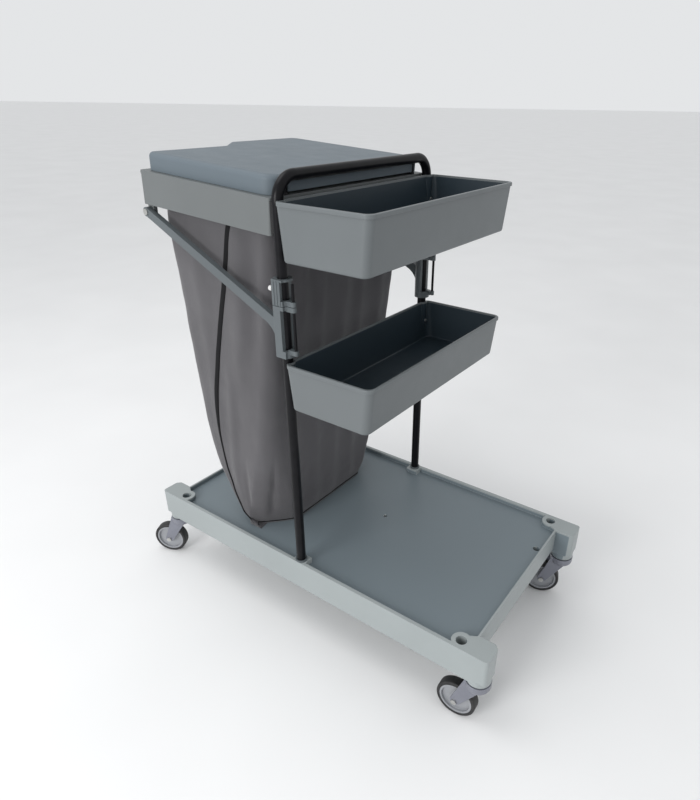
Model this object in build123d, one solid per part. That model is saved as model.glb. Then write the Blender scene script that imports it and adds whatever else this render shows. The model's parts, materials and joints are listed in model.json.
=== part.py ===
from build123d import *
import os
from math import cos, radians, sin

# Housekeeping cart, millimetres. X runs along the platform (bag end at -X, tray end at +X),
# Y runs across it (right side at -Y) and Z is up. It is drawn about the middle of the platform
# and then moved, so that the origin is on the floor under the middle of the whole cart.

# ---------------------------------------------------------------- driving dimensions
base_length = 930.0
base_width = 490.0
rim_height = 200.0
loop_height = 1006.0
tube_radius = 10.0
tube_wall = 1.5
wheel_radius = 42.5

# ---------------------------------------------------------------- fits
running_gap = 0.05
seat_gap = 0.4

# ---------------------------------------------------------------- platform
skirt_depth = 71.0
skirt_wall = 4.0
rim_width = 8.0
floor_drop = 12.0
floor_thickness = 4.0
end_wall_setback = 42.0
end_wall_depth = 58.0
block_width = 50.0
block_depth = 63.0
block_chamfer = 9.0
block_round = 7.0
boss_radius = 20.0
boss_bore_radius = 11.0
boss_bore_depth = 50.0
boss_setback = 67.0
boss_web = 14.0
caster_boss_radius = 25.0
caster_boss_drop = 15.0
rib_thickness = 3.0
rib_depth = 30.0
rib_count = 5
deck_hole_radius = 5.0
hook_hole_radius = 8.0
deck_hole = (52.0, 17.0)
hook_hole_setback = 59.0
hook_hole_y = 121.0
hole_depth = 16.0

# ---------------------------------------------------------------- upright loop and its sockets
loop_bend_radius = 40.0
socket_wall = 2.0
socket_depth = 42.0
socket_lip = 1.0
socket_lip_height = 4.0

# ---------------------------------------------------------------- bag frame
frame_tilt = 3.3
frame_length = 341.0
frame_width = 476.0
frame_height = 62.0
frame_top = 962.0
frame_wall = 4.0
frame_flange = 24.0
frame_lip_depth = 24.0
frame_lip_wall = 3.0
frame_corner = 6.0
frame_pad_depth = 12.0
frame_bead_radius = 5.0
frame_tube_gap = 2.0

# ---------------------------------------------------------------- lid
lid_inset_x = 12.0
lid_inset_y = 11.0
lid_tube_gap = 1.0
lid_height = 33.0
lid_wall = 3.0
lid_back_corner = 12.0
lid_front_corner = 34.0
lid_edge_round = 9.0
lid_front_gap = 5.0
grip_reach = 46.0
grip_start = -35.0
grip_end = 22.0
grip_corner = 22.0
hinge_drop = 10.0
hinge_inset = 10.0
knuckle_radius = 6.5
knuckle_length = 30.0
knuckle_centre_y = 176.0
hinge_pin_radius = 3.0
ear_thickness = 10.0

# ---------------------------------------------------------------- trays
tray_length = 197.3
tray_width = 492.4
tray_back = 2.7
tray_wall = 3.0
tray_draft_x = 9.6
tray_draft_y = 1.2
tray_corner = 14.0
tray_bottom_round = 5.0
tray_lip = 2.0
tray_lip_height = 7.0
upper_tray_rim = 960.0
upper_tray_depth = 99.0
lower_tray_rim = 674.0
lower_tray_depth = 92.0
screw_radius = 2.0
screw_head_radius = 4.0
screw_head_height = 2.4
screw_reach = 5.0

# ---------------------------------------------------------------- braces
brace_bottom = 686.0
brace_parting = 784.5
sleeve_top = 831.0
parting_gap = 1.0
sleeve_wall = 7.0
brace_thickness = 12.0
brace_outer_y = 242.0
brace_bar_half = 7.0
brace_eye_radius = 9.0
gusset_round = 45.0
pin_radius = 4.0
pin_head_radius = 6.0
pin_from_frame_end = 10.0
pin_below_frame = 14.0
rod_radius = 2.8
rod_offset_x = 26.0
rod_offset_y = 4.0
rod_lug_height = 9.0
cap_radius = 4.8
cap_head_length = 8.0
cap_neck_radius = 3.0
cap_neck_length = 9.0
grip_rib_count = 3
grip_rib_pitch = 7.0
grip_rib_half = 1.0

# ---------------------------------------------------------------- bag
bag_wall = 2.5
bag_top_gap = 2.0
# Share of the hang, then how far the bag stands in from the frame's mouth at the back, the
# front and each side, and its corner radius: narrow on the floor, bulging under the frame.
BAG_TAPER = (
    (0.00, 87.0, 76.0, 15.0, 55.0),
    (0.06, 53.0, 72.0, 9.0, 48.0),
    (0.20, 19.0, 64.0, 4.0, 38.0),
    (0.42, 7.0, 48.0, 4.0, 32.0),
    (0.75, -9.0, 16.0, 4.0, 28.0),
    (0.91, -15.0, 6.0, 2.0, 24.0),
    (1.00, 6.0, 1.0, 0.0, 16.0),
)

# ---------------------------------------------------------------- casters
caster_trail = 40.0
stem_radius = 6.0
stem_head_radius = 9.0
stem_head_height = 6.0
stem_reach = 34.0
race_height = 2.6
race_radius = 23.0
fork_head_radius = 26.0
fork_head_height = 21.0
fork_leg_thickness = 3.0
fork_leg_foot = 9.5
tyre_width = 22.0
tyre_depth = 7.0
hub_boss_radius = 10.0
hub_side_gap = 1.0
hub_rim_wall = 4.0
hub_dish = 6.6
bush_wall = 2.0
axle_radius = 4.0
axle_head_radius = 6.5
axle_head_height = 3.5

# ---------------------------------------------------------------- derived places
half_length = base_length / 2
half_width = base_width / 2
skirt_bottom = rim_height - skirt_depth
floor_top = rim_height - floor_drop
end_wall_x = half_length - end_wall_setback
caster_x = half_length - caster_boss_radius
caster_y = half_width - caster_boss_radius
caster_top = rim_height - block_depth - caster_boss_drop
socket_radius = tube_radius + running_gap + socket_wall
upright_y = half_width - socket_radius - socket_lip
loop_centre_z = loop_height - tube_radius
socket_bottom = rim_height - socket_depth
frame_front = -tube_radius - frame_tube_gap
frame_back = frame_front - frame_length
lid_front = -tube_radius - frame_tube_gap - lid_tube_gap
lid_back = frame_back + lid_inset_x
lid_half_width = frame_width / 2 - lid_inset_y
lid_bottom = frame_top + seat_gap
hinge_x = lid_front - hinge_inset
hinge_z = lid_bottom + lid_height - hinge_drop
pin_x = frame_back + pin_from_frame_end
pin_z = frame_top - frame_height - pin_below_frame
fork_gap = tyre_width / 2 + 2 * hub_side_gap

CORNERS = {
    "bag_right": (-1, -1, 207.0),
    "tray_right": (1, -1, 183.0),
    "tray_left": (1, 1, 200.0),
    "bag_left": (-1, 1, 190.0),
}
SIDES = {"right": -1, "left": 1}


# ---------------------------------------------------------------- helpers
def block(x0, x1, y0, y1, z0, z1):
    """A box between two opposite corners, given in any order."""
    centre = Pos((x0 + x1) / 2, (y0 + y1) / 2, (z0 + z1) / 2)
    return centre * Box(abs(x1 - x0), abs(y1 - y0), abs(z1 - z0))


def post(x, y, z0, z1, radius):
    """A vertical cylinder from z0 to z1."""
    return Pos(x, y, (z0 + z1) / 2) * Cylinder(radius, z1 - z0)


def bar_x(x0, x1, y, z, radius):
    """A cylinder along X."""
    return Pos((x0 + x1) / 2, y, z) * Rot(0, 90, 0) * Cylinder(radius, abs(x1 - x0))


def bar_y(x, y0, y1, z, radius):
    """A cylinder along Y."""
    return Pos(x, (y0 + y1) / 2, z) * Rot(90, 0, 0) * Cylinder(radius, abs(y1 - y0))


def plate_xz(points, y0, y1):
    """A flat plate with an outline in X and Z, from y0 to y1."""
    outline = make_face(Polyline([(x, y0, z) for x, z in points], close=True))
    return extrude(outline, amount=abs(y1 - y0), dir=(0, 1 if y1 > y0 else -1, 0))


def tilted(shape):
    """Turns what sits on the bag frame from level to the frame's working slope."""
    pivot = Pos(frame_front, 0, frame_top)
    return pivot * Rot(0, frame_tilt, 0) * pivot.inverse() * shape


def tilted_point(x, z):
    """Where a point of the level bag frame lies after tilting, as (x, z)."""
    angle = radians(frame_tilt)
    dx = x - frame_front
    dz = z - frame_top
    return (frame_front + dx * cos(angle) + dz * sin(angle), frame_top - dx * sin(angle) + dz * cos(angle))


def rounded_block(x0, x1, half_y, z0, z1, radius):
    """A block symmetric in Y with rounded vertical edges."""
    outline = Pos((x0 + x1) / 2, 0, z0) * RectangleRounded(x1 - x0, 2 * half_y, radius)
    return extrude(outline, amount=z1 - z0)


# ---------------------------------------------------------------- platform
def corner_block(sx, sy):
    """The block over one caster, with the tall boss beside it."""
    outer_x = sx * half_length
    inner_y = sy * (half_width - block_width)
    boss_x = sx * (half_length - boss_setback)
    boss_y = sy * (half_width - boss_radius - 1)
    outline = make_face(
        Polyline(
            (outer_x, sy * half_width),
            (outer_x, inner_y + sy * block_chamfer),
            (outer_x - sx * block_chamfer, inner_y),
            (sx * end_wall_x, inner_y),
            (boss_x, boss_y - sy * boss_web),
            (boss_x - sx * boss_radius, sy * half_width),
            close=True,
        )
    )
    outer_corners = outline.vertices().sort_by(Axis.X, reverse=sx < 0)[-3:]
    outline = fillet(outer_corners, radius=block_round)
    outline += Pos(boss_x, boss_y) * Circle(boss_radius)
    body = extrude(Pos(0, 0, rim_height - block_depth) * outline, amount=block_depth)
    return body + post(sx * caster_x, sy * caster_y, caster_top, rim_height - block_depth, caster_boss_radius)


def platform():
    body = block(-end_wall_x, end_wall_x, -half_width, half_width, floor_top - floor_thickness, floor_top)
    for sy in SIDES.values():
        wall_inner = sy * (half_width - skirt_wall)
        body += block(-caster_x, caster_x, sy * half_width, wall_inner, skirt_bottom, rim_height)
        rim_inner = sy * (half_width - rim_width)
        body += block(-caster_x, caster_x, sy * half_width, rim_inner, floor_top, rim_height)
        body += post(0, sy * upright_y, socket_bottom - skirt_wall, rim_height, socket_radius + socket_lip)
        body += block(
            -socket_radius - skirt_wall,
            socket_radius + skirt_wall,
            sy * half_width,
            sy * (upright_y - socket_radius - skirt_wall),
            socket_bottom - skirt_wall,
            rim_height,
        )
    for sx in (-1, 1):
        body += block(
            sx * end_wall_x,
            sx * (end_wall_x - skirt_wall),
            -half_width + skirt_wall,
            half_width - skirt_wall,
            rim_height - end_wall_depth,
            rim_height,
        )
    rib_bottom = floor_top - floor_thickness - rib_depth
    for number in range(rib_count):
        rib_x = (number - (rib_count - 1) / 2) * 2 * end_wall_x / (rib_count + 1)
        body += block(
            rib_x - rib_thickness / 2,
            rib_x + rib_thickness / 2,
            -half_width + skirt_wall,
            half_width - skirt_wall,
            rib_bottom,
            floor_top - floor_thickness,
        )
    for sx, sy, azimuth in CORNERS.values():
        body += corner_block(sx, sy)
    for sx, sy, azimuth in CORNERS.values():
        boss_x = sx * (half_length - boss_setback)
        boss_y = sy * (half_width - boss_radius - 1)
        body -= post(boss_x, boss_y, rim_height - boss_bore_depth, rim_height + 1, boss_bore_radius)
        stem_top = caster_top + stem_reach
        body -= post(sx * caster_x, sy * caster_y, caster_top - 1, stem_top + 1, stem_radius + running_gap)
    for sy in SIDES.values():
        body -= post(0, sy * upright_y, socket_bottom, rim_height + 1, socket_radius + running_gap)
    hook_hole = (half_length - hook_hole_setback, hook_hole_y)
    hole_bottom = floor_top - hole_depth
    for (hole_x, hole_y), radius in ((deck_hole, deck_hole_radius), (hook_hole, hook_hole_radius)):
        body += post(hole_x, hole_y, hole_bottom - floor_thickness, floor_top - 1, radius + floor_thickness)
        body -= post(hole_x, hole_y, hole_bottom, floor_top + 1, radius)
    return body


def upright_socket(sy):
    """The lipped bush that takes a foot of the loop."""
    bush = post(0, sy * upright_y, socket_bottom, rim_height + socket_lip_height, socket_radius)
    lip_bottom = rim_height + running_gap
    bush += post(
        0, sy * upright_y, lip_bottom, rim_height + socket_lip_height, socket_radius + socket_lip
    )
    return bush - post(
        0, sy * upright_y, socket_bottom + skirt_wall, loop_height, tube_radius + running_gap
    )


# ---------------------------------------------------------------- upright loop
def loop_path():
    foot = socket_bottom + skirt_wall
    return FilletPolyline(
        (0, -upright_y, foot),
        (0, -upright_y, loop_centre_z),
        (0, upright_y, loop_centre_z),
        (0, upright_y, foot),
        radius=loop_bend_radius,
    )


def upright_loop():
    path = loop_path()
    foot_plane = Plane(path @ 0, z_dir=path % 0)
    outside = sweep(foot_plane * Circle(tube_radius), path=path)
    inside = sweep(foot_plane * Circle(tube_radius - tube_wall), path=path)
    tube = outside - inside
    for sy in SIDES.values():
        for height in tray_screw_heights():
            tube -= bar_x(0, tube_radius + 1, sy * upright_y, height, screw_radius + running_gap)
        tube -= bar_x(-tube_radius - 1, 0, frame_screw_y(sy), frame_screw_z(), screw_radius + running_gap)
    return tube


# ---------------------------------------------------------------- bag frame
def bag_frame():
    bottom = frame_top - frame_height
    half_y = frame_width / 2
    outer = rounded_block(frame_back, frame_front, half_y, bottom, frame_top, frame_corner)
    ring = outer - rounded_block(
        frame_back + frame_wall,
        frame_front - frame_wall,
        half_y - frame_wall,
        bottom - 1,
        frame_top - frame_wall,
        frame_corner - frame_wall,
    )
    lip_outer = rounded_block(
        frame_back + frame_flange - frame_lip_wall,
        frame_front - frame_flange + frame_lip_wall,
        half_y - frame_flange + frame_lip_wall,
        frame_top - frame_lip_depth,
        frame_top - frame_wall,
        frame_corner,
    )
    mouth = rounded_block(
        frame_back + frame_flange,
        frame_front - frame_flange,
        half_y - frame_flange,
        bottom - 1,
        frame_top + 1,
        frame_corner - frame_lip_wall,
    )
    ring = ring + lip_outer - mouth
    bead_reach = half_y - frame_corner
    ring += bar_y(
        frame_back - 1, -bead_reach, bead_reach, frame_top - frame_bead_radius, frame_bead_radius
    )
    for sy in SIDES.values():
        lug_outer = sy * (brace_outer_y - brace_thickness - seat_gap)
        lug_inner = lug_outer - sy * 2 * frame_wall
        lug_back = frame_back + frame_wall / 2
        ring += block(lug_back, pin_x + brace_eye_radius, lug_outer, lug_inner, pin_z, frame_top - 1)
        ring += bar_y(pin_x, lug_outer, lug_inner, pin_z, brace_eye_radius)
        ring -= bar_y(pin_x, lug_outer + sy, lug_inner - sy, pin_z, pin_radius + running_gap)
        ring += block(
            frame_front - frame_pad_depth,
            frame_front - frame_wall / 2,
            sy * (half_y - frame_wall / 2),
            frame_screw_y(sy) - sy * (screw_head_radius + 1),
            frame_screw_z() - screw_head_radius - 2,
            frame_screw_z() + screw_head_radius + 2,
        )
    ring = tilted(ring)
    for sy in SIDES.values():
        ring -= bar_x(frame_screw_face() - 1, 0, frame_screw_y(sy), frame_screw_z(), screw_radius + seat_gap)
    return ring


def frame_screw_y(sy):
    """The frame's screws stand just clear of its side walls."""
    return sy * (frame_width / 2 - frame_wall - screw_head_radius - 1)


def frame_screw_z():
    """Height of the screws that hold the frame's end to the uprights."""
    return frame_top - frame_height / 2


def frame_screw_face():
    """Where the heads of those screws sit, on the pads inside the frame's corners."""
    pad_face = tilted_point(frame_front - frame_pad_depth, frame_screw_z() - screw_head_radius)
    return pad_face[0] - running_gap


def frame_saddle(sy):
    """The hollow-faced spacer between the frame's end wall and an upright."""
    half_z = frame_height / 2 - frame_wall
    saddle = block(
        frame_front - 1,
        -tube_radius / 2,
        sy * (upright_y - tube_radius),
        sy * (upright_y + tube_radius - frame_wall),
        frame_screw_z() - half_z,
        frame_screw_z() + half_z,
    )
    saddle -= post(0, sy * upright_y, rim_height, loop_centre_z, tube_radius + running_gap)
    saddle -= bar_x(frame_front - 2, 0, frame_screw_y(sy), frame_screw_z(), screw_radius + running_gap)
    cutter = block(
        frame_front - frame_flange,
        frame_front + running_gap,
        sy * (half_width - frame_flange * 2),
        sy * (half_width + frame_flange),
        frame_top - 2 * frame_height,
        frame_top + frame_height,
    )
    return saddle - tilted(cutter)


def frame_screws():
    """Two screws through the frame's end wall and the saddles into the uprights."""
    screws = []
    for sy in SIDES.values():
        head_face = frame_screw_face()
        y = frame_screw_y(sy)
        shank = bar_x(head_face, -tube_radius + screw_reach, y, frame_screw_z(), screw_radius)
        head = bar_x(head_face - screw_head_height, head_face, y, frame_screw_z(), screw_head_radius)
        screws.append(shank + head)
    return screws


# ---------------------------------------------------------------- lid
def lid_outline(inset):
    """The lid from above, or its cavity when inset is the wall: a rectangle with a step as a grip."""
    back = lid_back + inset
    front = lid_front - inset
    half_y = lid_half_width - inset
    corners = [
        (front, -half_y),
        (back, -half_y),
        (back, grip_start + inset),
        (back - grip_reach, grip_end + inset),
        (back - grip_reach, half_y),
        (front, half_y),
    ]
    radii = [
        lid_front_corner - inset,
        lid_back_corner - inset,
        grip_corner + inset,
        grip_corner - inset,
        grip_corner - inset,
        lid_front_corner - inset,
    ]
    return make_face(FilletPolyline(corners, radius=radii, close=True))


def ear_span(sy):
    """Where a hinge bracket's ear stands in Y: its inner and outer faces."""
    inner = sy * (knuckle_centre_y + knuckle_length / 2 + seat_gap)
    return inner, inner + sy * ear_thickness


def lid():
    """A shallow cover with a knuckle at each side inside its front wall, notched for the brackets."""
    cover = extrude(Pos(0, 0, lid_bottom) * lid_outline(0), amount=lid_height)
    cover = fillet(cover.edges().group_by(Axis.Z)[-1], radius=lid_edge_round)
    cavity_height = lid_height - lid_wall
    cover -= extrude(Pos(0, 0, lid_bottom - 1) * lid_outline(lid_wall), amount=cavity_height + 1)
    front_edge = lid_front + 1
    cover -= block(
        hinge_x - seat_gap,
        front_edge,
        -lid_half_width - 1,
        lid_half_width + 1,
        lid_bottom - 1,
        lid_bottom + lid_front_gap,
    )
    for sy in SIDES.values():
        y0 = sy * (knuckle_centre_y - knuckle_length / 2)
        y1 = sy * (knuckle_centre_y + knuckle_length / 2)
        cover += bar_y(hinge_x, y0, y1, hinge_z, knuckle_radius)
        web_top = hinge_z + knuckle_radius + seat_gap
        cover += block(hinge_x, lid_front - lid_wall / 2, y0, y1, hinge_z - knuckle_radius, web_top)
        cover -= bar_y(hinge_x, y0 - sy, y1 + sy, hinge_z, hinge_pin_radius + running_gap)
        ear_inner, ear_outer = ear_span(sy)
        notch_x = hinge_x - knuckle_radius - seat_gap
        notch_top = lid_bottom + cavity_height
        cover -= block(
            notch_x, front_edge, ear_inner - sy * seat_gap, ear_outer + sy * seat_gap, lid_bottom, notch_top
        )
    return tilted(cover)


def hinge_bracket(sy):
    """The bracket on the frame's rim that carries one end of the lid's hinge."""
    ear_inner, ear_outer = ear_span(sy)
    ear = block(hinge_x - knuckle_radius, hinge_x + knuckle_radius, ear_inner, ear_outer, frame_top, hinge_z)
    ear += bar_y(hinge_x, ear_inner, ear_outer, hinge_z, knuckle_radius)
    ear += block(hinge_x, frame_front - 1, ear_inner, ear_outer, frame_top, frame_top + lid_wall)
    ear -= bar_y(hinge_x, ear_inner - sy, ear_outer + sy, hinge_z, hinge_pin_radius)
    return tilted(ear)


def hinge_pin(sy):
    y0 = sy * (knuckle_centre_y - knuckle_length / 2)
    y1 = ear_span(sy)[1]
    return tilted(bar_y(hinge_x, y0, y1, hinge_z, hinge_pin_radius))


# ---------------------------------------------------------------- trays
def tray_screw_heights():
    return [rim - depth / 2 for rim, depth in TRAYS.values()]


def tray_shape(rim, depth, inset):
    """The drafted outer form of a tray with a rounded bottom edge, or its cavity when inset is the wall."""
    front = tray_back + tray_length
    half_y = tray_width / 2
    top = Pos((tray_back + front) / 2, 0, rim) * RectangleRounded(
        tray_length - 2 * inset, 2 * (half_y - inset), tray_corner
    )
    bottom = Pos((tray_back + front) / 2, 0, rim - depth + inset) * RectangleRounded(
        tray_length - 2 * (inset + tray_draft_x), 2 * (half_y - inset - tray_draft_y), tray_corner
    )
    form = loft([top.face(), bottom.face()])
    return fillet(form.edges().group_by(Axis.Z)[0], radius=tray_bottom_round - inset / 2)


def tray(rim, depth):
    outer = tray_shape(rim, depth, 0)
    cavity = tray_shape(rim, depth, tray_wall)
    shell = outer - cavity
    lip = extrude(
        Pos(tray_back + (tray_length + tray_lip) / 2, 0, rim - tray_lip_height)
        * RectangleRounded(tray_length + tray_lip, tray_width + 2 * tray_lip, tray_corner + tray_lip),
        amount=tray_lip_height,
    )
    lip = fillet(lip.edges().group_by(Axis.Z)[-1], radius=tray_lip)
    lip -= extrude(
        Pos(tray_back + tray_length / 2, 0, rim - tray_lip_height - 1)
        * RectangleRounded(tray_length - 2 * tray_wall, tray_width - 2 * tray_wall, tray_corner - tray_wall),
        amount=tray_lip_height + 2,
    )
    shell += lip
    for sy in SIDES.values():
        pocket_wall = post(0, sy * upright_y, rim - depth, rim, tube_radius + tray_wall + seat_gap)
        shell += pocket_wall & outer
        shell -= post(0, sy * upright_y, rim - depth - 1, rim + 1, tube_radius + seat_gap)
        shell -= bar_x(
            0, tube_radius + 3 * tray_wall, sy * upright_y, rim - depth / 2, screw_radius + running_gap
        )
    return shell


def tray_screws(rim, depth):
    """Two screws from inside a tray, through its pockets and into the uprights."""
    screws = []
    for sy in SIDES.values():
        head_face = tube_radius + tray_wall + seat_gap
        height = rim - depth / 2
        shank = bar_x(tube_radius - screw_reach, head_face, sy * upright_y, height, screw_radius)
        head = bar_x(head_face, head_face + screw_head_height, sy * upright_y, height, screw_head_radius)
        screws.append(shank + head)
    return screws


TRAYS = {
    "upper": (upper_tray_rim, upper_tray_depth),
    "lower": (lower_tray_rim, lower_tray_depth),
}


# ---------------------------------------------------------------- braces
def rod_y(sy):
    return sy * (upright_y + rod_offset_y)


def rod_lug(sy, bottom):
    """The arm that holds the round rod beside the upright."""
    y = rod_y(sy)
    lug = block(
        tube_radius + 1, rod_offset_x, y - rod_radius - 2, y + rod_radius + 2, bottom, bottom + rod_lug_height
    )
    lug += post(rod_offset_x, y, bottom, bottom + rod_lug_height, rod_radius + 2)
    return lug


def upright_wrap(sy, bottom, top, window_bottom, window_top):
    """A sleeve round an upright with a window towards the trays."""
    y = sy * upright_y
    wrap = post(0, y, bottom, top, tube_radius + sleeve_wall)
    wrap += block(-tube_radius - 2, tube_radius + 2, y, y + sy * (tube_radius + sleeve_wall), bottom, top)
    wrap -= block(tube_radius / 2, rod_offset_x, y - 2 * tube_radius, y + 2 * tube_radius, window_bottom, window_top)
    return wrap


def brace(sy):
    """The arm under the bag frame, in one piece with its sleeve on the upright."""
    eye_x, eye_z = tilted_point(pin_x, pin_z)
    outer = sy * brace_outer_y
    inner = sy * (brace_outer_y - brace_thickness)
    top = brace_parting - parting_gap
    sleeve_x = -tube_radius - sleeve_wall / 2
    root_z = (brace_bottom + top) / 2
    arm = plate_xz(
        [
            (eye_x + brace_bar_half / 2, eye_z + brace_bar_half),
            (sleeve_x, root_z + 3 * brace_bar_half),
            (sleeve_x, root_z - 4 * brace_bar_half),
            (sleeve_x - brace_bar_half, root_z + brace_bar_half / 2),
            (eye_x - brace_bar_half / 2, eye_z - brace_bar_half),
        ],
        outer,
        inner,
    )
    arm = fillet(arm.edges().filter_by(Axis.Y).sort_by(Axis.X)[2:3], radius=gusset_round)
    arm += bar_y(eye_x, outer, inner, eye_z, brace_eye_radius)
    arm += upright_wrap(sy, brace_bottom, top, brace_bottom + 2 * brace_bar_half, top - brace_bar_half)
    arm += rod_lug(sy, brace_bottom + brace_bar_half)
    arm += rod_lug(sy, top - rod_lug_height)
    arm -= post(0, sy * upright_y, brace_bottom - 1, top + 1, tube_radius + running_gap)
    arm -= post(rod_offset_x, rod_y(sy), brace_bottom, top + 1, rod_radius + running_gap)
    arm -= bar_y(eye_x, outer + sy, inner - sy, eye_z, pin_radius + running_gap)
    return arm


def upper_sleeve(sy):
    """The ribbed sleeve above the brace."""
    sleeve = upright_wrap(sy, brace_parting, sleeve_top, brace_parting + rod_lug_height, sleeve_top - 4)
    face_y = sy * (upright_y + tube_radius + sleeve_wall)
    for number in range(grip_rib_count):
        rib_x = (number - (grip_rib_count - 1) / 2) * grip_rib_pitch
        sleeve += block(
            rib_x - grip_rib_half,
            rib_x + grip_rib_half,
            face_y - sy,
            face_y + sy * grip_rib_half,
            brace_parting,
            sleeve_top - 2 * grip_rib_half,
        )
    sleeve += rod_lug(sy, brace_parting)
    sleeve -= post(0, sy * upright_y, brace_parting - 1, sleeve_top + 1, tube_radius + running_gap)
    sleeve -= post(rod_offset_x, rod_y(sy), brace_parting - 1, sleeve_top, rod_radius + running_gap)
    return sleeve


def brace_rod(sy):
    return post(rod_offset_x, rod_y(sy), brace_bottom + brace_bar_half, sleeve_top - 6, rod_radius)


def brace_pin(sy):
    """The headed pin that joins the brace's eye to the lug under the frame."""
    eye_x, eye_z = tilted_point(pin_x, pin_z)
    outer = sy * (brace_outer_y + running_gap)
    inner = sy * (brace_outer_y - brace_thickness - seat_gap - 2 * frame_wall)
    pin = bar_y(eye_x, outer, inner, eye_z, pin_radius)
    return pin + bar_y(eye_x, outer, outer + sy * screw_head_height, eye_z, pin_head_radius)


def sleeve_cap(sy):
    """The round-headed knob on the back of the upper sleeve."""
    y = sy * upright_y
    height = (brace_parting + sleeve_top) / 2
    neck_front = -tube_radius - sleeve_wall - running_gap
    neck_back = neck_front - cap_neck_length
    head = bar_x(neck_back - cap_head_length, neck_back, y, height, cap_radius)
    head = fillet(head.edges().group_by(Axis.X)[0], radius=cap_radius / 2)
    return head + bar_x(neck_back, neck_front, y, height, cap_neck_radius)


# ---------------------------------------------------------------- bag
def bag_levels():
    """Sections of the full bag from the floor up: z, back x, front x, half width, corner."""
    mouth_back = frame_back + frame_flange + bag_top_gap
    mouth_front = frame_front - frame_flange - bag_top_gap
    mouth_half = frame_width / 2 - frame_flange - bag_top_gap
    bag_floor = floor_top + seat_gap
    hang = frame_top - frame_lip_depth / 2 - bag_floor
    return [
        (bag_floor + share * hang, mouth_back + back, mouth_front - front, mouth_half - side, corner)
        for share, back, front, side, corner in BAG_TAPER
    ]


def bag_solid(inset, levels):
    """The bag's form: level sections, and a last one that follows the sloping frame."""
    faces = []
    for z, back, front, half_y, corner in levels:
        section = Pos((back + front) / 2, 0, z) * RectangleRounded(
            front - back - 2 * inset, 2 * (half_y - inset), corner - inset
        )
        faces.append(section.face())
    faces[-1] = tilted(faces[-1])
    return loft(faces)


def bag():
    levels = bag_levels()
    floor_level = levels[0]
    mouth_level = levels[-1]
    inner_levels = [(floor_level[0] + bag_wall, *floor_level[1:])]
    inner_levels += levels[1:-1]
    inner_levels += [(mouth_level[0] + 1, *mouth_level[1:])]
    return bag_solid(0, levels) - bag_solid(bag_wall, inner_levels)


# ---------------------------------------------------------------- casters
def caster_place(sx, sy, azimuth):
    """Carries a caster from the origin, trailing along +X, to its corner and rest angle."""
    return Pos(sx * caster_x, sy * caster_y, 0) * Rot(0, 0, azimuth)


def caster_stem(place):
    fork_top = caster_top - race_height - seat_gap
    head_top = fork_top - fork_head_height - seat_gap
    stem = post(0, 0, head_top - stem_head_height, head_top, stem_head_radius)
    stem += post(0, 0, head_top, caster_top + stem_reach, stem_radius)
    return place * stem


def swivel_race(place):
    ring = post(0, 0, caster_top - race_height, caster_top, race_radius)
    return place * (ring - post(0, 0, caster_top - race_height - 1, caster_top + 1, stem_radius + running_gap))


def caster_fork(place):
    top = caster_top - race_height - seat_gap
    bottom = top - fork_head_height
    head = post(0, 0, bottom, top, fork_head_radius)
    head = fillet(head.edges().group_by(Axis.Z)[0], radius=fork_head_height / 2)
    leg_outer = fork_gap + fork_leg_thickness
    fork = head
    for sy in (-1, 1):
        leg = plate_xz(
            [
                (-fork_head_radius / 2, top - 2),
                (fork_head_radius - fork_leg_thickness, top - 2),
                (caster_trail + fork_leg_foot, wheel_radius + axle_radius),
                (caster_trail + axle_head_radius, wheel_radius - axle_head_radius),
                (caster_trail - fork_leg_foot, wheel_radius - axle_radius),
                (-fork_head_radius / 2, bottom + fork_head_height / 3),
            ],
            sy * fork_gap,
            sy * leg_outer,
        )
        fork += leg
    fork += block(
        -fork_head_radius / 2,
        fork_head_radius - fork_leg_thickness,
        -leg_outer,
        leg_outer,
        bottom + fork_head_height / 3,
        top,
    )
    wheel_room = bar_y(caster_trail, -fork_gap, fork_gap, wheel_radius, wheel_radius + 4 * hub_side_gap)
    fork -= wheel_room
    fork -= post(0, 0, bottom - 1, top + 1, stem_radius + running_gap)
    fork -= bar_y(caster_trail, -leg_outer - 1, leg_outer + 1, wheel_radius, axle_radius + running_gap)
    return place * fork


def axle_bolt(place):
    side = fork_gap + fork_leg_thickness + running_gap
    bolt = bar_y(caster_trail, -side, side + axle_head_height, wheel_radius, axle_radius)
    head = extrude(
        Pos(caster_trail, -side, wheel_radius) * Rot(90, 0, 0) * RegularPolygon(axle_head_radius, 6),
        amount=axle_head_height,
    )
    return place * (bolt + head)


def axle_nut(place):
    side = fork_gap + fork_leg_thickness + running_gap
    nut = extrude(
        Pos(caster_trail, side, wheel_radius) * Rot(-90, 0, 0) * RegularPolygon(axle_head_radius, 6),
        amount=axle_head_height,
    )
    bore = bar_y(caster_trail, side - 1, side + axle_head_height + 1, wheel_radius, axle_radius + running_gap)
    return place * (nut - bore)


def wheel_hub(place):
    rim_radius = wheel_radius - tyre_depth
    hub = bar_y(caster_trail, -tyre_width / 2 + 1, tyre_width / 2 - 1, wheel_radius, rim_radius)
    for sy in (-1, 1):
        dish_outer = sy * tyre_width / 2
        dish_inner = dish_outer - sy * hub_dish
        hub -= bar_y(caster_trail, dish_outer, dish_inner, wheel_radius, rim_radius - hub_rim_wall)
    boss_half = fork_gap - hub_side_gap
    hub += bar_y(caster_trail, -boss_half, boss_half, wheel_radius, hub_boss_radius)
    bore = axle_radius + 2 * running_gap + bush_wall
    return place * (hub - bar_y(caster_trail, -fork_gap, fork_gap, wheel_radius, bore))


def wheel_bush(place):
    half = fork_gap - hub_side_gap / 2
    outer = bar_y(caster_trail, -half, half, wheel_radius, axle_radius + running_gap + bush_wall)
    return place * (outer - bar_y(caster_trail, -half - 1, half + 1, wheel_radius, axle_radius + running_gap))


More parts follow.
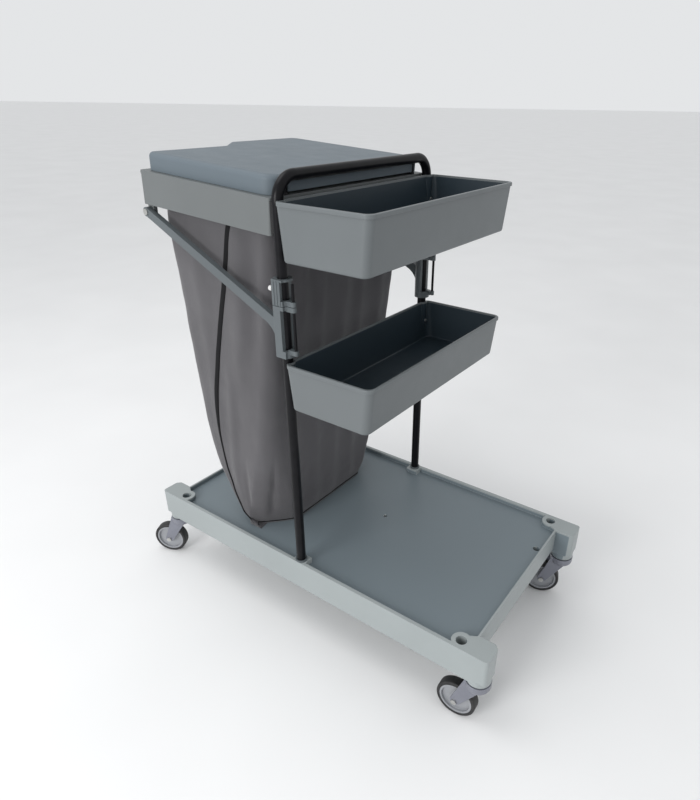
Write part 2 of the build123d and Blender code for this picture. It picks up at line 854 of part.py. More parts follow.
def wheel_tyre(place):
    half = tyre_width / 2
    tyre = bar_y(caster_trail, -half, half, wheel_radius, wheel_radius)
    tyre = fillet(tyre.edges(), radius=tyre_depth / 2)
    tyre -= bar_y(caster_trail, -half - 1, half + 1, wheel_radius, wheel_radius - tyre_depth + running_gap)
    return place * tyre


# ---------------------------------------------------------------- the whole cart
def build_nodes():
    """Every node by name: one shape, or a list of identical fasteners."""
    nodes = {
        "platform": platform(),
        "upright_loop": upright_loop(),
        "bag_frame": bag_frame(),
        "lid": lid(),
        "laundry_bag": bag(),
        "frame_screws": frame_screws(),
    }
    for name, (rim, depth) in TRAYS.items():
        nodes[f"{name}_tray"] = tray(rim, depth)
        nodes[f"{name}_tray_screws"] = tray_screws(rim, depth)
    for name, sy in SIDES.items():
        nodes[f"upright_socket_{name}"] = upright_socket(sy)
        nodes[f"frame_saddle_{name}"] = frame_saddle(sy)
        nodes[f"lid_hinge_bracket_{name}"] = hinge_bracket(sy)
        nodes[f"lid_hinge_pin_{name}"] = hinge_pin(sy)
        nodes[f"brace_{name}"] = brace(sy)
        nodes[f"upper_sleeve_{name}"] = upper_sleeve(sy)
        nodes[f"brace_rod_{name}"] = brace_rod(sy)
        nodes[f"brace_pin_{name}"] = brace_pin(sy)
        nodes[f"sleeve_cap_{name}"] = sleeve_cap(sy)
    stems = []
    races = []
    for name, (sx, sy, azimuth) in CORNERS.items():
        place = caster_place(sx, sy, azimuth)
        stems.append(caster_stem(place))
        races.append(swivel_race(place))
        nodes[f"caster_fork_{name}"] = caster_fork(place)
        nodes[f"axle_bolt_{name}"] = axle_bolt(place)
        nodes[f"axle_nut_{name}"] = axle_nut(place)
        nodes[f"wheel_hub_{name}"] = wheel_hub(place)
        nodes[f"wheel_bush_{name}"] = wheel_bush(place)
        nodes[f"wheel_tyre_{name}"] = wheel_tyre(place)
    nodes["caster_stems"] = stems
    nodes["swivel_races"] = races
    return nodes


def solids_of(node):
    """The solids of a node: a group of identical fasteners is kept as a list."""
    return node if isinstance(node, list) else [node]


def origin_shift(nodes):
    """The move that puts the origin on the floor under the middle of the cart's overall box."""
    boxes = [solid.bounding_box() for node in nodes.values() for solid in solids_of(node)]
    middle_x = (min(box.min.X for box in boxes) + max(box.max.X for box in boxes)) / 2
    middle_y = (min(box.min.Y for box in boxes) + max(box.max.Y for box in boxes)) / 2
    return Pos(-round(middle_x, 1), -round(middle_y, 1), 0)


os.makedirs("parts", exist_ok=True)
cart = build_nodes()
to_origin = origin_shift(cart)
for node_name, node in cart.items():
    placed = [to_origin * solid for solid in solids_of(node)]
    export_step(placed[0] if len(placed) == 1 else Compound(children=placed), f"parts/{node_name}.step")
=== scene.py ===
import json
import math
import bpy
from mathutils import Matrix, Vector, noise


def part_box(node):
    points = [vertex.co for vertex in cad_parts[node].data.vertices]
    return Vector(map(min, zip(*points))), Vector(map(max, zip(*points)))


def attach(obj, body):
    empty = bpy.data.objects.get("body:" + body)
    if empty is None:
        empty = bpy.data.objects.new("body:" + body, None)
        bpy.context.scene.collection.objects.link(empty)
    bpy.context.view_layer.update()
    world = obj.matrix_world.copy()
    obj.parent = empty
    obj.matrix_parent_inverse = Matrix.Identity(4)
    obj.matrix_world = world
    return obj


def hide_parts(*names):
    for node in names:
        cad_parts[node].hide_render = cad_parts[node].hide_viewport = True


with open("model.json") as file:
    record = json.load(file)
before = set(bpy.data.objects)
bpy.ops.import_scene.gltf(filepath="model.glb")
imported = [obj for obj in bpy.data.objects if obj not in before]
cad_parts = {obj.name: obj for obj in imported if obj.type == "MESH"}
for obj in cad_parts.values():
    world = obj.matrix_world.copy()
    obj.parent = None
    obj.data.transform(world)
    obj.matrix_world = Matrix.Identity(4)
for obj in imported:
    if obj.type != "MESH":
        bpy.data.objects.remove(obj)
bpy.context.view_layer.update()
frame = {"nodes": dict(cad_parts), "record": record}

# ---------------------------------------------------------------- camera
CAMERA_PLACE = (0.77095, -0.97491, 1.11918)
CAMERA_YAW = 2.1736
CAMERA_PITCH = 0.4837
CAMERA_ROLL = 0.0154
CAMERA_LENS = 27.37
SENSOR = 36.0
SHIFT_X = -0.0472
SHIFT_Y = 0.0140


def make_camera():
    """The camera, from a compass heading, a downward pitch and a small roll."""
    ahead = Vector((
        math.cos(CAMERA_PITCH) * math.cos(CAMERA_YAW),
        math.cos(CAMERA_PITCH) * math.sin(CAMERA_YAW),
        -math.sin(CAMERA_PITCH),
    ))
    right = ahead.cross(Vector((0, 0, 1))).normalized()
    up = right.cross(ahead)
    rolled_right = right * math.cos(CAMERA_ROLL) + up * math.sin(CAMERA_ROLL)
    rolled_up = up * math.cos(CAMERA_ROLL) - right * math.sin(CAMERA_ROLL)
    data = bpy.data.cameras.new("camera")
    data.sensor_width = SENSOR
    data.lens = CAMERA_LENS
    data.shift_x = SHIFT_X
    data.shift_y = SHIFT_Y
    data.clip_start = 0.05
    data.clip_end = 50
    camera = bpy.data.objects.new("camera", data)
    turn = Matrix((rolled_right, rolled_up, -ahead)).transposed()
    camera.matrix_world = Matrix.Translation(CAMERA_PLACE) @ turn.to_4x4()
    bpy.context.scene.collection.objects.link(camera)
    bpy.context.scene.camera = camera


# ---------------------------------------------------------------- palette
# Linear colours, then the radius of softened edges and how far below its top a tray's rim ends, in metres.
GREY_PLATFORM = (0.320, 0.350, 0.352)
# Painted shade on the deck inside the platform's rim.
DECK_PAINTED_SHADE = (0.165, 0.200, 0.220)
GREY_TRAY = (0.138, 0.152, 0.158)
GREY_FRAME = (0.140, 0.151, 0.153)
GREY_LID = (0.118, 0.146, 0.168)
GREY_BRACKET = (0.105, 0.120, 0.128)
GREY_FORK = (0.210, 0.217, 0.255)
GREY_HUB = (0.330, 0.340, 0.360)
# Painted shade on the faces inside the trays.
TRAY_PAINTED_SHADE = (0.022, 0.034, 0.044)
CLOTH = (0.090, 0.087, 0.093)
BINDING = (0.006, 0.006, 0.007)
EDGE_ROUND = 0.0012
TRAY_RIM = 0.004

# ---------------------------------------------------------------- material helpers
class Nodes:
    """A material's node tree, with short calls for the nodes that these materials use."""

    def __init__(self, name):
        self.material = bpy.data.materials.new(name)
        self.material.use_nodes = True
        self.tree = self.material.node_tree
        self.tree.nodes.clear()
        self.shader = self.tree.nodes.new("ShaderNodeBsdfPrincipled")
        output = self.tree.nodes.new("ShaderNodeOutputMaterial")
        self.link(self.shader.outputs["BSDF"], output.inputs["Surface"])
        self.coords = self.tree.nodes.new("ShaderNodeTexCoord").outputs["Object"]

    def link(self, source, target):
        self.tree.links.new(source, target)

    def scaled(self, scale):
        mapping = self.tree.nodes.new("ShaderNodeMapping")
        mapping.inputs["Scale"].default_value = scale
        self.link(self.coords, mapping.inputs["Vector"])
        return mapping.outputs["Vector"]

    def noise(self, scale, detail=4.0, roughness=0.55, vector=None):
        made = self.tree.nodes.new("ShaderNodeTexNoise")
        made.inputs["Scale"].default_value = scale
        made.inputs["Detail"].default_value = detail
        made.inputs["Roughness"].default_value = roughness
        self.link(self.coords if vector is None else vector, made.inputs["Vector"])
        return made.outputs["Fac"]

    def wave(self, scale, direction, distortion=0.0, vector=None):
        made = self.tree.nodes.new("ShaderNodeTexWave")
        made.bands_direction = direction
        made.inputs["Scale"].default_value = scale
        made.inputs["Distortion"].default_value = distortion
        self.link(self.coords if vector is None else vector, made.inputs["Vector"])
        return made.outputs["Fac"]

    def ramp(self, source, stops):
        made = self.tree.nodes.new("ShaderNodeValToRGB")
        elements = made.color_ramp.elements
        while len(elements) < len(stops):
            elements.new(0.5)
        for element, (place, color) in zip(elements, stops):
            element.position = place
            element.color = (*color, 1)
        self.link(source, made.inputs["Fac"])
        return made.outputs["Color"]

    def spread(self, source, low, high):
        """Maps 0..1 to low..high."""
        made = self.tree.nodes.new("ShaderNodeMapRange")
        made.inputs["To Min"].default_value = low
        made.inputs["To Max"].default_value = high
        self.link(source, made.inputs["Value"])
        return made.outputs["Result"]

    def mix(self, factor, a, b, blend="MIX"):
        made = self.tree.nodes.new("ShaderNodeMix")
        made.data_type = "RGBA"
        made.blend_type = blend
        for socket, value in ((made.inputs[0], factor), (made.inputs[6], a), (made.inputs[7], b)):
            if isinstance(value, bpy.types.NodeSocket):
                self.link(value, socket)
            elif isinstance(value, tuple):
                socket.default_value = (*value, 1)
            else:
                socket.default_value = value
        return made.outputs[2]

    def math(self, operation, a, b):
        made = self.tree.nodes.new("ShaderNodeMath")
        made.operation = operation
        for socket, value in zip(made.inputs, (a, b)):
            if isinstance(value, bpy.types.NodeSocket):
                self.link(value, socket)
            else:
                socket.default_value = value
        return made.outputs["Value"]

    def bump(self, height, distance, strength=1.0, before=None):
        made = self.tree.nodes.new("ShaderNodeBump")
        made.inputs["Strength"].default_value = strength
        made.inputs["Distance"].default_value = distance
        self.link(height, made.inputs["Height"])
        if before is not None:
            self.link(before, made.inputs["Normal"])
        return made.outputs["Normal"]

    def soft_edges(self, radius):
        """A normal that rounds the edges off, and a mask for a painted edge highlight that is 1 on the
        edges and 0 elsewhere.
        """
        bevel = self.tree.nodes.new("ShaderNodeBevel")
        bevel.samples = 4
        bevel.inputs["Radius"].default_value = radius
        flat = self.tree.nodes.new("ShaderNodeNewGeometry").outputs["Normal"]
        agree = self.vector_math("DOT_PRODUCT", bevel.outputs["Normal"], flat)
        edge_highlight_mask = self.math("MULTIPLY", self.math("SUBTRACT", 1.0, agree), 9.0)
        return bevel.outputs["Normal"], self.math("MINIMUM", edge_highlight_mask, 1.0)

    def vector_math(self, operation, a, b):
        made = self.tree.nodes.new("ShaderNodeVectorMath")
        made.operation = operation
        for socket, value in zip(made.inputs, (a, b)):
            if isinstance(value, bpy.types.NodeSocket):
                self.link(value, socket)
            else:
                socket.default_value = value
        return made.outputs["Value" if operation == "DOT_PRODUCT" else "Vector"]

    def painted_shade_mask(self, low, high):
        """Near 1 on the faces inside a tray with this box, and 0 outside it and on its rim; it places
        painted shade.
        """
        centre = (low + high) / 2
        true_normal = self.tree.nodes.new("ShaderNodeNewGeometry").outputs["True Normal"]
        inward = self.vector_math("SUBTRACT", tuple(centre), self.coords)
        level = self.vector_math("MULTIPLY", inward, (1, 1, 0))
        faces_in = self.math("GREATER_THAN", self.vector_math("DOT_PRODUCT", level, true_normal), 0.012)
        faces_up = self.math("GREATER_THAN", self.vector_math("DOT_PRODUCT", true_normal, (0, 0, 1)), 0.6)
        either = self.math("MAXIMUM", faces_in, faces_up)
        height = self.vector_math("DOT_PRODUCT", self.coords, (0, 0, 1))
        under_rim = self.math("LESS_THAN", height, high.z - TRAY_RIM)
        return self.math("MULTIPLY", either, under_rim)


def shade(color, factor):
    return tuple(min(1.0, channel * factor) for channel in color)


def moulded_plastic(name, color, roughness=0.42, grain=0.00006, mottling=0.08, inside_shade=None):
    """Moulded plastic: fine grain, faint flow marks, a painted highlight on its edges, and painted shade
    inside a box.
    """
    n = Nodes(name)
    rounded, edge_highlight = n.soft_edges(EDGE_ROUND)
    cloud = n.noise(3.2, 3.0)
    flow = n.noise(1.4, 5.0, 0.6, n.scaled((6.0, 1.2, 1.5)))
    base = n.ramp(cloud, [(0.3, shade(color, 1 - mottling)), (0.7, shade(color, 1 + mottling))])
    base = n.mix(n.spread(flow, 0.0, 0.30), base, shade(color, 0.88))
    # Painted shade: the faces inside the box take a darker colour.
    if inside_shade:
        box, painted_shade_color = inside_shade
        base = n.mix(n.painted_shade_mask(*box), base, painted_shade_color)
    # Painted highlight: the edges are mixed towards a paler colour.
    base = n.mix(n.math("MULTIPLY", edge_highlight, 0.40), base, shade(color, 1.7))
    n.link(base, n.shader.inputs["Base Color"])
    n.link(n.spread(n.noise(24.0, 3.0), roughness - 0.06, roughness + 0.10), n.shader.inputs["Roughness"])
    n.shader.inputs["Specular IOR Level"].default_value = 0.35
    n.link(n.bump(n.noise(1500.0, 2.0), grain, 1.0, rounded), n.shader.inputs["Normal"])
    return n.material


def black_enamel(name):
    """Black powder coat with a soft shine and a faint orange peel."""
    n = Nodes(name)
    speck = n.noise(60.0, 4.0)
    black = n.ramp(speck, [(0.35, (0.004, 0.004, 0.005)), (0.75, (0.007, 0.007, 0.009))])
    n.link(black, n.shader.inputs["Base Color"])
    n.link(n.spread(n.noise(35.0, 3.0), 0.24, 0.38), n.shader.inputs["Roughness"])
    n.shader.inputs["Specular IOR Level"].default_value = 0.16
    n.link(n.bump(n.noise(420.0, 2.0), 0.00008), n.shader.inputs["Normal"])
    return n.material


def woven_cloth(name, color, sheen=0.25):
    """Plain-woven polyester: crossed threads, slubs and soft patches."""
    n = Nodes(name)
    warp = n.wave(330.0, "DIAGONAL", 0.6)
    weft = n.wave(330.0, "Z", 0.6)
    threads = n.math("MAXIMUM", warp, weft)
    patches = n.noise(5.0, 5.0, 0.6)
    slubs = n.noise(10.0, 3.0, 0.6, n.scaled((8.0, 8.0, 1.0)))
    base = n.ramp(patches, [(0.3, shade(color, 0.82)), (0.7, shade(color, 1.15))])
    base = n.mix(n.spread(slubs, 0.0, 0.3), base, shade(color, 1.3))
    base = n.mix(n.spread(threads, 0.30, 0.0), base, shade(color, 0.55))
    n.link(base, n.shader.inputs["Base Color"])
    n.shader.inputs["Roughness"].default_value = 0.85
    n.shader.inputs["Sheen Weight"].default_value = sheen
    n.shader.inputs["Sheen Roughness"].default_value = 0.5
    n.shader.inputs["Specular IOR Level"].default_value = 0.25
    creases = n.bump(n.noise(42.0, 5.0, 0.62, n.scaled((1.0, 1.0, 0.45))), 0.0012, 0.5)
    n.link(n.bump(threads, 0.00022, 0.7, creases), n.shader.inputs["Normal"])
    return n.material


def metal(name, color, roughness, grain=0.00003):
    """Plated or bare metal with fine scratches and cloudy plating."""
    n = Nodes(name)
    cloud = n.noise(40.0, 5.0)
    scratches = n.noise(30.0, 4.0, 0.6, n.scaled((1.0, 22.0, 22.0)))
    plating = n.ramp(cloud, [(0.3, shade(color, 0.82)), (0.7, shade(color, 1.1))])
    n.link(plating, n.shader.inputs["Base Color"])
    n.shader.inputs["Metallic"].default_value = 1.0
    n.link(n.spread(scratches, roughness - 0.08, roughness + 0.16), n.shader.inputs["Roughness"])
    n.link(n.bump(scratches, grain), n.shader.inputs["Normal"])
    return n.material


def grey_enamel(name, color):
    """Sprayed enamel on pressed steel, a little orange-peeled, with a painted highlight on its edges."""
    n = Nodes(name)
    rounded, edge_highlight = n.soft_edges(EDGE_ROUND)
    cloud = n.noise(28.0, 4.0)
    base = n.ramp(cloud, [(0.3, shade(color, 0.88)), (0.7, shade(color, 1.06))])
    # Painted highlight: the edges are mixed towards a paler colour.
    base = n.mix(n.math("MULTIPLY", edge_highlight, 0.5), base, shade(color, 1.5))
    n.link(base, n.shader.inputs["Base Color"])
    n.link(n.spread(n.noise(55.0, 3.0), 0.24, 0.42), n.shader.inputs["Roughness"])
    n.shader.inputs["Metallic"].default_value = 0.15
    n.link(n.bump(n.noise(520.0, 2.0), 0.00005, 1.0, rounded), n.shader.inputs["Normal"])
    return n.material


def rubber(name):
    """Black rubber with a little dust."""
    n = Nodes(name)
    dust = n.noise(70.0, 5.0, 0.65)
    dusty = n.ramp(dust, [(0.40, (0.011, 0.011, 0.012)), (0.80, (0.040, 0.039, 0.038))])
    n.link(dusty, n.shader.inputs["Base Color"])
    n.link(n.spread(dust, 0.45, 0.75), n.shader.inputs["Roughness"])
    n.link(n.bump(n.noise(900.0, 3.0), 0.00008), n.shader.inputs["Normal"])
    return n.material


def pale_floor(name):
    n = Nodes(name)
    paper = n.ramp(n.noise(2.0, 2.0), [(0.3, (0.83, 0.83, 0.83)), (0.7, (0.86, 0.86, 0.86))])
    n.link(paper, n.shader.inputs["Base Color"])
    n.shader.inputs["Roughness"].default_value = 0.9
    return n.material


# ---------------------------------------------------------------- mesh helpers
def mesh_object(name, verts, faces, material, smooth=True):
    data = bpy.data.meshes.new(name)
    data.from_pydata([tuple(v) for v in verts], [], faces)
    data.validate()
    made = bpy.data.objects.new(name, data)
    bpy.context.scene.collection.objects.link(made)
    data.materials.append(material)
    for polygon in data.polygons:
        polygon.use_smooth = smooth
    return made


def apply_modifiers(obj):
    graph = bpy.context.evaluated_depsgraph_get()
    baked = bpy.data.meshes.new_from_object(obj.evaluated_get(graph))
    obj.modifiers.clear()
    old = obj.data
    obj.data = baked
    bpy.data.meshes.remove(old)


def smooth_step(low, high, value):
    t = min(1.0, max(0.0, (value - low) / (high - low)))
    return t * t * (3 - 2 * t)


def curve_through(stops, place):
    """A smooth value at place, through (place, value) stops given in rising order."""
    if place <= stops[0][0]:
        return stops[0][1]
    for number in range(len(stops) - 1):
        if place <= stops[number + 1][0]:
            break
    else:
        return stops[-1][1]
    before = stops[max(number - 1, 0)]
    start = stops[number]
    end = stops[number + 1]
    after = stops[min(number + 2, len(stops) - 1)]
    span = end[0] - start[0]
    t = (place - start[0]) / span
    slope_start = (end[1] - before[1]) / (end[0] - before[0]) * span
    slope_end = (after[1] - start[1]) / (after[0] - start[0]) * span
    return (
        (2 * t**3 - 3 * t**2 + 1) * start[1]
        + (t**3 - 2 * t**2 + t) * slope_start
        + (3 * t**2 - 2 * t**3) * end[1]
        + (t**3 - t**2) * slope_end
    )


# ---------------------------------------------------------------- bag
# The bag's back, front, half width and corner radius up its height, in metres about its CAD box:
# share of the height, distance in from the box's -X side, from its +X side, from its Y sides, radius.
BAG_SHAPE = (
    (0.00, 0.104, 0.076, 0.014, 0.078),
    (0.06, 0.066, 0.072, 0.008, 0.070),
    (0.20, 0.034, 0.064, 0.004, 0.050),
    (0.42, 0.022, 0.048, 0.004, 0.034),
    (0.75, 0.006, 0.016, 0.004, 0.030),
    (0.90, 0.001, 0.007, 0.002, 0.026),
    (1.00, 0.020, 0.001, 0.000, 0.020),
)
BAG_ROWS = 150
BAG_FACE_COLUMNS = 56
BAG_SIDE_COLUMNS = 44
BAG_CORNER_COLUMNS = 12
BAG_THICK = 0.0016
FLOOR_RINGS = 8
FRAME_SLOPE = math.tan(math.radians(3.3))
BAG_LOW, BAG_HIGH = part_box("laundry_bag")


def bag_section(share):
    """Back x, front x, half width, middle y, corner radius and z of the bag at a share of its height."""
    values = [curve_through([(row[0], row[i]) for row in BAG_SHAPE], share) for i in range(1, 5)]
    back = BAG_LOW.x + values[0]
    front = BAG_HIGH.x - values[1]
    half = (BAG_HIGH.y - BAG_LOW.y) / 2 - values[2]
    return back, front, half, (BAG_LOW.y + BAG_HIGH.y) / 2, values[3]


def corner_chord(part):
    """How near a corner's straight chord comes to its centre, against its arc, part way round."""
    return math.cos(math.pi / 4) / math.cos(math.pi / 2 * part - math.pi / 4)


def bag_outline(share):
    """Points round a section, counter-clockwise from the middle of the +X face, with outward normals."""
    back, front, half, mid, radius = bag_section(share)
    points = []
    pinch = 0.8 * (1 - smooth_step(0.02, 0.34, share))
    corners = (
        (front - radius, mid + half - radius, 0),
        (back + radius, mid + half - radius, 90),
        (back + radius, mid - half + radius, 180),
        (front - radius, mid - half + radius, 270),
    )
    counts = (BAG_SIDE_COLUMNS, BAG_FACE_COLUMNS, BAG_SIDE_COLUMNS, BAG_FACE_COLUMNS)
    for number, (cx, cy, start) in enumerate(corners):
        for step in range(BAG_CORNER_COLUMNS):
            angle = math.radians(start + 90 * step / BAG_CORNER_COLUMNS)
            normal = Vector((math.cos(angle), math.sin(angle), 0))
            reach = radius * (1 - pinch * (1 - corner_chord(step / BAG_CORNER_COLUMNS)))
            points.append((Vector((cx, cy, 0)) + normal * reach, normal))
        nx, ny, _ = corners[(number + 1) % 4]
        angle = math.radians(start + 90)
        normal = Vector((math.cos(angle), math.sin(angle), 0))
        a = Vector((cx, cy, 0)) + normal * radius
        b = Vector((nx, ny, 0)) + normal * radius
        for step in range(counts[number]):
            points.append((a.lerp(b, step / counts[number]), normal))
    return points


def ridge(distance, width):
    return math.exp(-((distance / width) ** 2))


# The +X face's hanging folds: place across it (-1 to 1), width, depth, lean.
FRONT_FOLDS = (
    (-0.62, 0.085, 0.0050, 0.10),
    (-0.30, 0.060, 0.0034, -0.06),
    (0.05, 0.09, 0.0044, 0.05),
    (0.36, 0.07, 0.0036, -0.08),
    (0.70, 0.10, 0.0050, -0.10),
)
# The side faces' folds: place along from the back (0 to 1), width, depth, lean, first share, last share.
SIDE_FOLDS = (
    (0.66, 0.10, 0.0055, 0.16, 0.45, 1.1),
    (0.80, 0.07, -0.0065, 0.06, 0.55, 1.1),
    (0.52, 0.06, 0.0034, 0.10, 0.05, 0.60),
    (0.30, 0.07, 0.0026, -0.05, 0.2, 0.9),
    (0.70, 0.04, -0.0030, 0.20, -0.1, 0.30),
)
# The -X face's folds: place across it, width, depth.
BACK_FOLDS = ((-0.5, 0.12, 0.004), (0.1, 0.10, 0.003), (0.55, 0.12, 0.004))
FOLD_FADE = 0.15
FACE_NORMAL = 0.6


def front_folds(across, share):
    """Folds of the +X face, a tuck low down by its right corner, and the hollow of its middle."""
    out = 0.0
    for place, width, depth, lean in FRONT_FOLDS:
        out += depth * ridge(across - place - lean * (share - 0.5), width)
    low_tuck = smooth_step(0.03, 0.06, share) * (1 - smooth_step(0.18, 0.30, share))
    out -= 0.007 * low_tuck * ridge(across + 0.86 + 0.25 * (share - 0.1), 0.022)
    out -= 0.005 * (1 - across * across) * (share - 0.35)
    return out


def side_folds(along, share):
    """Folds of a side face, each fading in and out up the height, and its slack lower down."""
    out = 0.0
    for place, width, depth, lean, start, stop in SIDE_FOLDS:
        fade_in = smooth_step(start, start + FOLD_FADE, share)
        fade_out = 1 - smooth_step(stop - FOLD_FADE, stop, share)
        out += depth * (fade_in * fade_out) * ridge(along - place - lean * (share - 0.5), width)
    out += 0.004 * math.sin(math.pi * min(1, max(0, along))) * (1 - share)
    return out


def bag_fold(point, normal, share):
    """How far the cloth stands out of its plain form: hanging folds, corner tucks and slack."""
    back, front, half, mid, _ = bag_section(share)
    across = (point.y - mid) / half
    edge = min(1.0, share / 0.05) * (1 - smooth_step(0.90, 0.99, share))
    if normal.x > FACE_NORMAL:
        out = front_folds(across, share)
    elif abs(normal.y) > FACE_NORMAL:
        out = side_folds((point.x - back) / (front - back), share)
    else:
        out = sum(depth * ridge(across - place, width) for place, width, depth in BACK_FOLDS)
    x, y, z = point
    soft = noise.fractal(Vector((x * 5.5, y * 5.5, z * 3.0)), 1.0, 2.1, 4)
    fine = noise.fractal(Vector((x * 16 + 7, y * 16, z * 11)), 0.9, 2.1, 4)
    low_crumple = 1 - smooth_step(0.0, 0.28, share)
    return edge * (out + 0.0024 * soft + (0.0008 + 0.0022 * low_crumple) * fine)


def bag_rows():
    """The bag's outer surface as rows of (point, normal), from the floor up."""
    level_top = BAG_HIGH.z - FRAME_SLOPE * (BAG_HIGH.x - BAG_LOW.x)
    rows = []
    for number in range(BAG_ROWS + 1):
        share = number / BAG_ROWS
        mouth = smooth_step(0.80, 1.0, share)
        row = []
        for place, normal in bag_outline(share):
            z = BAG_LOW.z + share * (level_top - BAG_LOW.z) + mouth * FRAME_SLOPE * (BAG_HIGH.x - place.x)
            point = Vector((place.x, place.y, z))
            row.append((point + normal * bag_fold(point, normal, share), normal))
        rows.append(row)
    return rows


def make_bag(rows, material):
    """An open shell with a closed, slightly sagging floor, thickened inward."""
    columns = len(rows[0])
    verts = [point for row in rows for point, normal in row]
    faces = []
    for r in range(len(rows) - 1):
        for c in range(columns):
            d = (c + 1) % columns
            faces.append((r * columns + c, r * columns + d, (r + 1) * columns + d, (r + 1) * columns + c))
    centre = sum((point for point, normal in rows[0]), Vector()) / columns
    start = 0
    for ring in range(1, FLOOR_RINGS):
        first = len(verts)
        for c in range(columns):
            edge = rows[0][c][0]
            place = edge.lerp(centre, ring / FLOOR_RINGS)
            place.z = edge.z + 0.0004 * math.sin(math.pi * ring / FLOOR_RINGS)
            verts.append(place)
        for c in range(columns):
            d = (c + 1) % columns
            faces.append((start + d, start + c, first + c, first + d))
        start = first
    verts.append(centre)
    for c in range(columns):
        faces.append((start + (c + 1) % columns, start + c, len(verts) - 1))
    bag = mesh_object("laundry_bag_cloth", verts, faces, material)
    solid = bag.modifiers.new("thickness", "SOLIDIFY")
    solid.thickness = BAG_THICK
    solid.offset = -1
    apply_modifiers(bag)
    return bag


def ribbon(name, path, widths, thick, material):
    """A soft flat tape along (point, outward normal) stations, rounded across."""
    verts = []
    faces = []
    profile = 8
    for number, (point, normal) in enumerate(path):
        before = path[max(number - 1, 0)][0]
        after = path[min(number + 1, len(path) - 1)][0]
        along = (after - before).normalized()
        side = along.cross(normal).normalized()
        half = widths[number] / 2
        for step in range(profile):
            angle = 2 * math.pi * step / profile
            verts.append(point + side * (half * math.cos(angle)) + normal * (thick * math.sin(angle)))
    for r in range(len(path) - 1):
        for c in range(profile):
            d = (c + 1) % profile
            faces.append((r * profile + c, (r + 1) * profile + c, (r + 1) * profile + d, r * profile + d))
    faces.append(tuple(range(profile)))
    faces.append(tuple((len(path) - 1) * profile + c for c in reversed(range(profile))))
    return mesh_object(name, verts, faces, material)


# The side seam's binding: height share, then share of the side's length from the front edge.
SEAM = (
    (0.01, 0.70), (0.05, 0.78), (0.12, 0.82), (0.22, 0.81), (0.32, 0.80), (0.42, 0.76),
    (0.62, 0.58), (0.82, 0.39), (0.93, 0.31), (0.99, 0.27),
)


SEAM_THICK = 0.0016
SEAM_LIFT = 0.0004
SEAM_NARROW = 0.0045
SEAM_WIDENING = 0.0085
FLOOR_BINDING_WIDTH = 0.005
FLOOR_BINDING_THICK = 0.0012
FLOOR_BINDING_LIFT = 0.001


def seam_path(rows, right):
    """Stations of a side seam on the bag's rows, and the binding's width at each."""
    left_face = BAG_CORNER_COLUMNS
    right_face = BAG_CORNER_COLUMNS * 3 + BAG_SIDE_COLUMNS + BAG_FACE_COLUMNS
    path = []
    widths = []
    for number in range(2, len(rows) - 2):
        share = number / BAG_ROWS
        along = curve_through(SEAM, share)
        if right:
            place = right_face + (1 - along) * BAG_SIDE_COLUMNS
        else:
            place = left_face + along * BAG_SIDE_COLUMNS
        column = int(place)
        start, normal = rows[number][column]
        end, _ = rows[number][column + 1]
        path.append((start.lerp(end, place - column) + normal * SEAM_LIFT, normal))
        widths.append(SEAM_NARROW + SEAM_WIDENING * smooth_step(0.26, 0.44, share))
    return path, widths


def bottom_binding(rows, material):
    """The dark bound edge round the bag's floor."""
    closed_row = rows[1] + rows[1][:1]
    path = [(point + Vector((0, 0, FLOOR_BINDING_LIFT)), normal) for point, normal in closed_row]
    widths = [FLOOR_BINDING_WIDTH] * len(path)
    return ribbon("bag_floor_binding", path, widths, FLOOR_BINDING_THICK, material)


# ---------------------------------------------------------------- assembling
def give_look(node, look):
    if not node.data.materials:
        node.data.materials.append(look)
    for number in range(len(node.data.materials)):
        node.data.materials[number] = look


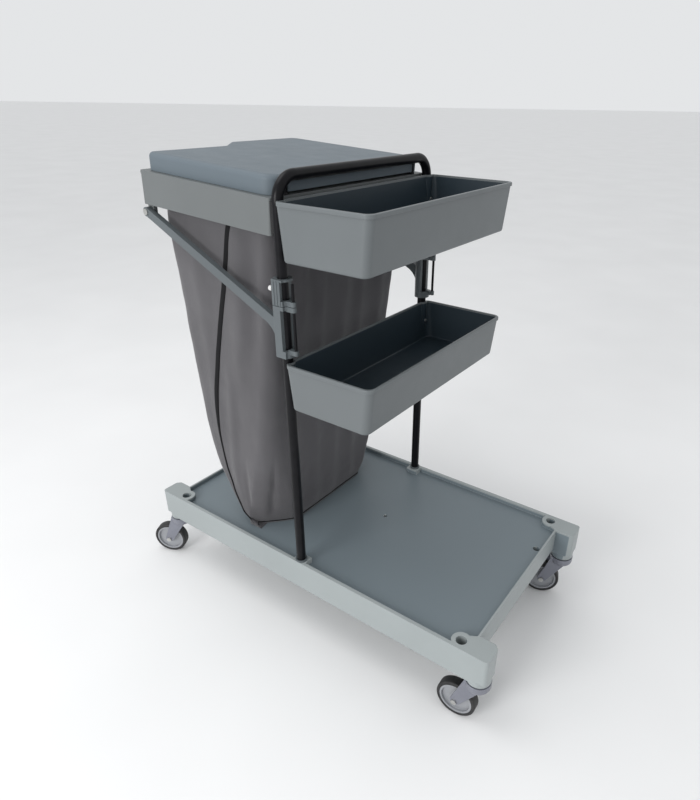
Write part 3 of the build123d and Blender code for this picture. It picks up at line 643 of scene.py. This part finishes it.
def cad_materials():
    """Gives every carried-over CAD node its finish."""
    slots = {
        "frame_plastic": moulded_plastic("frame_plastic_look", GREY_FRAME, 0.44),
        "lid_plastic": moulded_plastic("lid_plastic_look", GREY_LID, 0.48),
        "bracket_plastic": moulded_plastic("bracket_plastic_look", GREY_BRACKET, 0.36),
        "loop_enamel": black_enamel("loop_enamel_look"),
        "caster_grey": grey_enamel("caster_grey_look", GREY_FORK),
        "hub_plastic": grey_enamel("hub_plastic_look", GREY_HUB),
        "tyre_rubber": rubber("tyre_rubber_look"),
        "zinc_steel": metal("zinc_steel_look", (0.62, 0.62, 0.60), 0.34),
        "hinge_black": moulded_plastic("hinge_black_look", (0.012, 0.012, 0.013), 0.40),
        "cap_white": moulded_plastic("cap_white_look", (0.70, 0.70, 0.69), 0.30),
        "bush_nylon": moulded_plastic("bush_nylon_look", (0.60, 0.59, 0.54), 0.40),
    }
    # Each part's colour, and the darker colour painted inside it as shade.
    painted_inside_shades = {
        "upper_tray": (GREY_TRAY, TRAY_PAINTED_SHADE),
        "lower_tray": (GREY_TRAY, TRAY_PAINTED_SHADE),
        "platform": (GREY_PLATFORM, DECK_PAINTED_SHADE),
    }
    for name, (color, painted_shade_color) in painted_inside_shades.items():
        look = moulded_plastic(f"{name}_look", color, 0.36, inside_shade=(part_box(name), painted_shade_color))
        give_look(frame["nodes"][name], look)
    for part in frame["record"]["subparts"]:
        node = frame["nodes"].get(part["node"])
        if node is None or part["material_slot"] not in slots:
            continue
        give_look(node, slots[part["material_slot"]])
    for side in ("right", "left"):
        give_look(frame["nodes"][f"brace_rod_{side}"], slots["loop_enamel"])


FLOOR_REACH = 60.0
WORLD_COLOR = (0.97, 0.985, 1.0, 1)
WORLD_STRENGTH = 0.80
LIGHT_TARGET = (0, 0, 0.5)
# Name, place, diameter and power in watts.
LIGHTS = (
    ("key", (-0.3, -3.0, 1.5), 1.6, 48),
    ("top", (-0.8, -0.6, 3.2), 1.8, 20),
)


def make_floor():
    far = FLOOR_REACH
    corners = [(-far, -far, 0), (far, -far, 0), (far, far, 0), (-far, far, 0)]
    floor = mesh_object("floor", corners, [(0, 1, 2, 3)], pale_floor("floor_look"), smooth=False)


def area_light(name, place, size, power):
    """A round soft light aimed at the middle of the cart."""
    data = bpy.data.lights.new(name, "AREA")
    data.shape = "DISK"
    data.size = size
    data.energy = power
    light = bpy.data.objects.new(name, data)
    light.location = place
    light.rotation_mode = "QUATERNION"
    light.rotation_quaternion = (Vector(LIGHT_TARGET) - Vector(place)).to_track_quat("-Z", "Y")
    bpy.context.scene.collection.objects.link(light)


def make_lights():
    world = bpy.data.worlds.new("studio")
    world.use_nodes = True
    back = world.node_tree.nodes["Background"]
    back.inputs["Color"].default_value = WORLD_COLOR
    back.inputs["Strength"].default_value = WORLD_STRENGTH
    bpy.context.scene.world = world
    bpy.context.scene.view_settings.view_transform = "Standard"
    for light in LIGHTS:
        area_light(*light)


def make_laundry_bag():
    """The cloth bag with its side and floor bindings."""
    cloth = woven_cloth("bag_cloth_look", CLOTH)
    binding = woven_cloth("bag_binding_look", BINDING, 0.0)
    rows = bag_rows()
    bag = make_bag(rows, cloth)
    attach(bag, "cart")
    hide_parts("laundry_bag")
    for side in ("right", "left"):
        path, widths = seam_path(rows, side == "right")
        seam = ribbon(f"bag_seam_binding_{side}", path, widths, SEAM_THICK, binding)
        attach(seam, "cart")
    edge = bottom_binding(rows, binding)
    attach(edge, "cart")


make_camera()
cad_materials()
make_laundry_bag()
make_floor()
make_lights()
